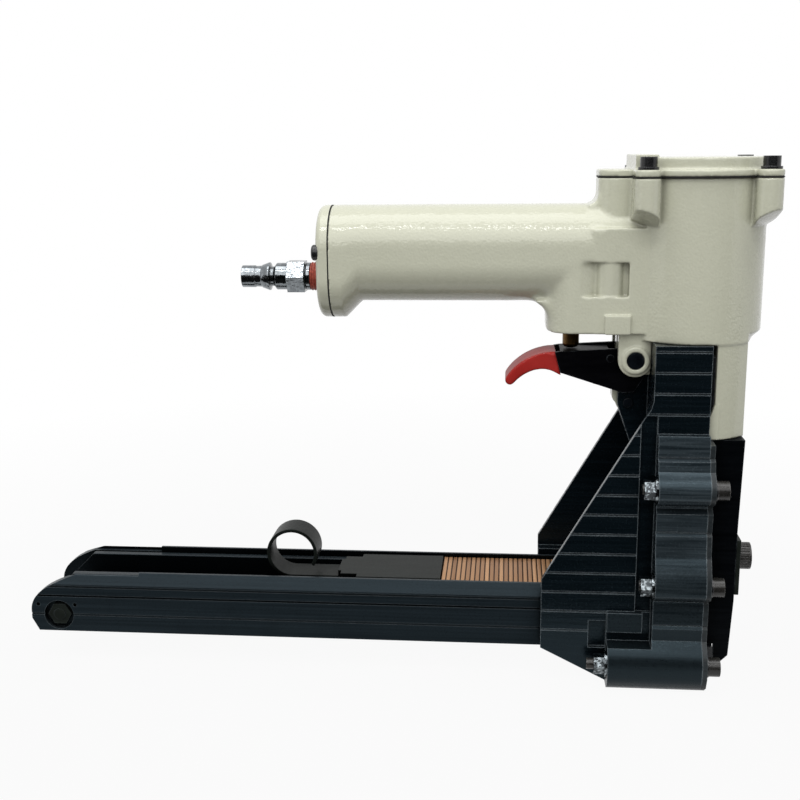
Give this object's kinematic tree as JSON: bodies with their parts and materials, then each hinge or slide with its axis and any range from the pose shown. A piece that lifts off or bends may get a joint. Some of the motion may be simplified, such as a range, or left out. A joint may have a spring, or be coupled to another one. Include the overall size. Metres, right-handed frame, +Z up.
{
  "type": "pneumatic carton stapler",
  "caption": "Pneumatic carton stapler: cast pistol-grip housing on a black gusseted frame, long open staple magazine with sprung pusher, trigger valve, clinching claws and air plug",
  "frame": {"origin": "where the staple leaves the tool: on the driver's axis, in the plane of the sole", "axes": "X runs along the magazine towards the nose, Y to the tool's left, Z up along the driver's axis"},
  "size_m": [0.3418, 0.0878, 0.2355],
  "materials": {
    "cream_paint": "cast, cream hammer textured paint",
    "black_anodised": "black anodised",
    "black_steel": "black coated",
    "black_oxide": "black oxide",
    "zinc": "zinc plated",
    "chrome_plate": "bright plated",
    "red_plastic": "glossy dip",
    "red_sealant": "dried sealant",
    "gasket_black": "matt",
    "brass": "turned",
    "bare_steel": "ground",
    "bare_aluminium": "turned",
    "copper_wire": "coppered wire"
  },
  "bodies": {
    "stapler": {"main_housing": "cream_paint", "handle_end_cap": "cream_paint", "cylinder_cap": "cream_paint", "side_frame": "black_anodised", "front_cover": "black_anodised", "magazine_rail_left": "black_anodised", "magazine_rail_right": "black_anodised", "magazine_floor": "black_anodised", "staple_core": "black_anodised", "rear_plate": "black_steel", "rear_bracket": "black_steel", "rear_guide": "black_steel", "front_guide": "black_steel", "spring_anchor": "black_steel", "cap_screws": "black_oxide", "cap_washers": "black_oxide", "end_cap_screws": "black_oxide", "frame_bolts": "black_oxide", "frame_lock_washers": "black_oxide", "cover_screws": "black_oxide", "leg_screws": "black_oxide", "housing_screws": "black_oxide", "trigger_pin": "black_oxide", "bracket_pin": "black_oxide", "magazine_tie": "black_oxide", "front_plate": "black_oxide", "frame_nuts": "zinc", "air_plug": "chrome_plate", "thread_sealant": "red_sealant", "cap_gasket": "gasket_black", "end_cap_gasket": "gasket_black", "piston_bumper": "gasket_black", "valve_seals": "gasket_black", "trigger_valve_body": "brass", "rod_bush": "brass", "cylinder_liner": "bare_steel", "clincher_pins": "bare_steel", "spring_band": "bare_steel", "staple_strip": "copper_wire"},
    "driver": {"crosshead": "bare_steel", "driver_blade": "bare_steel", "driver_pin": "bare_steel", "piston_rod": "chrome_plate", "piston": "bare_aluminium", "piston_seal": "gasket_black", "cam_plate": "bare_steel", "cam_screws": "bare_steel"},
    "clincher_left_body": {"clincher_left": "bare_steel", "follower_left": "bare_steel"},
    "clincher_right_body": {"clincher_right": "bare_steel", "follower_right": "bare_steel"},
    "trigger": {"trigger_lever": "black_steel", "trigger_grip": "red_plastic"},
    "stem": {"valve_stem": "brass"},
    "pusher": {"pusher_plate": "black_steel", "pusher_slider": "black_steel"},
    "roll": {"spring_roll": "bare_steel"},
    "depth_plate": {"adjuster_plate": "black_steel"},
    "depth_screw": {"adjuster_knob": "black_oxide"}
  },
  "joints": [
    {"name": "driver_slide", "type": "slide", "parent": "stapler", "child": "driver", "axis": [0, 0, -1], "range_m": [0, 0.043]},
    {"name": "clincher_left_pivot", "type": "hinge", "parent": "stapler", "child": "clincher_left_body", "pos_m": [0.009, 0.00713, 0.024], "axis": [-1, 0, 0], "range_deg": [0, 32.3]},
    {"name": "clincher_right_pivot", "type": "hinge", "parent": "stapler", "child": "clincher_right_body", "pos_m": [0.009, -0.00713, 0.024], "axis": [1, 0, 0], "range_deg": [0, 32.3]},
    {"name": "trigger_pivot", "type": "hinge", "parent": "stapler", "child": "trigger", "pos_m": [-0.0264, 0, 0.1466], "axis": [0, 1, 0], "range_deg": [0, 7], "stiffness_Nm_per_rad": 1, "springref_deg": -6.88},
    {"name": "stem_slide", "type": "slide", "parent": "stapler", "child": "stem", "axis": [0, 0, 1], "range_m": [0, 0.0034]},
    {"name": "pusher_slide", "type": "slide", "parent": "stapler", "child": "pusher", "axis": [-1, 0, 0], "range_m": [0, 0.11], "stiffness_N_per_m": 8, "springref_m": -0.15, "deforming": ["spring_band"]},
    {"name": "roll_spin", "type": "hinge", "parent": "pusher", "child": "roll", "pos_m": [-0.13323, 0, 0.0304], "axis": [0, -1, 0], "range_deg": [-20, 1010]},
    {"name": "depth_slide", "type": "slide", "parent": "stapler", "child": "depth_plate", "axis": [0, 0, 1], "range_m": [-0.003, 0.003]},
    {"name": "depth_screw_turn", "type": "hinge", "parent": "stapler", "child": "depth_screw", "pos_m": [0.028, 0, 0.0508], "axis": [1, 0, 0], "range_deg": [0, 360]}
  ],
  "couplings": [
    {"joint": "clincher_left_pivot", "follows": "driver_slide", "rad_per_m": 13.11},
    {"joint": "clincher_right_pivot", "follows": "driver_slide", "rad_per_m": 13.11},
    {"joint": "stem_slide", "follows": "trigger_pivot", "m_per_rad": 0.0276},
    {"joint": "roll_spin", "follows": "pusher_slide", "rad_per_m": 153.85}
  ]
}
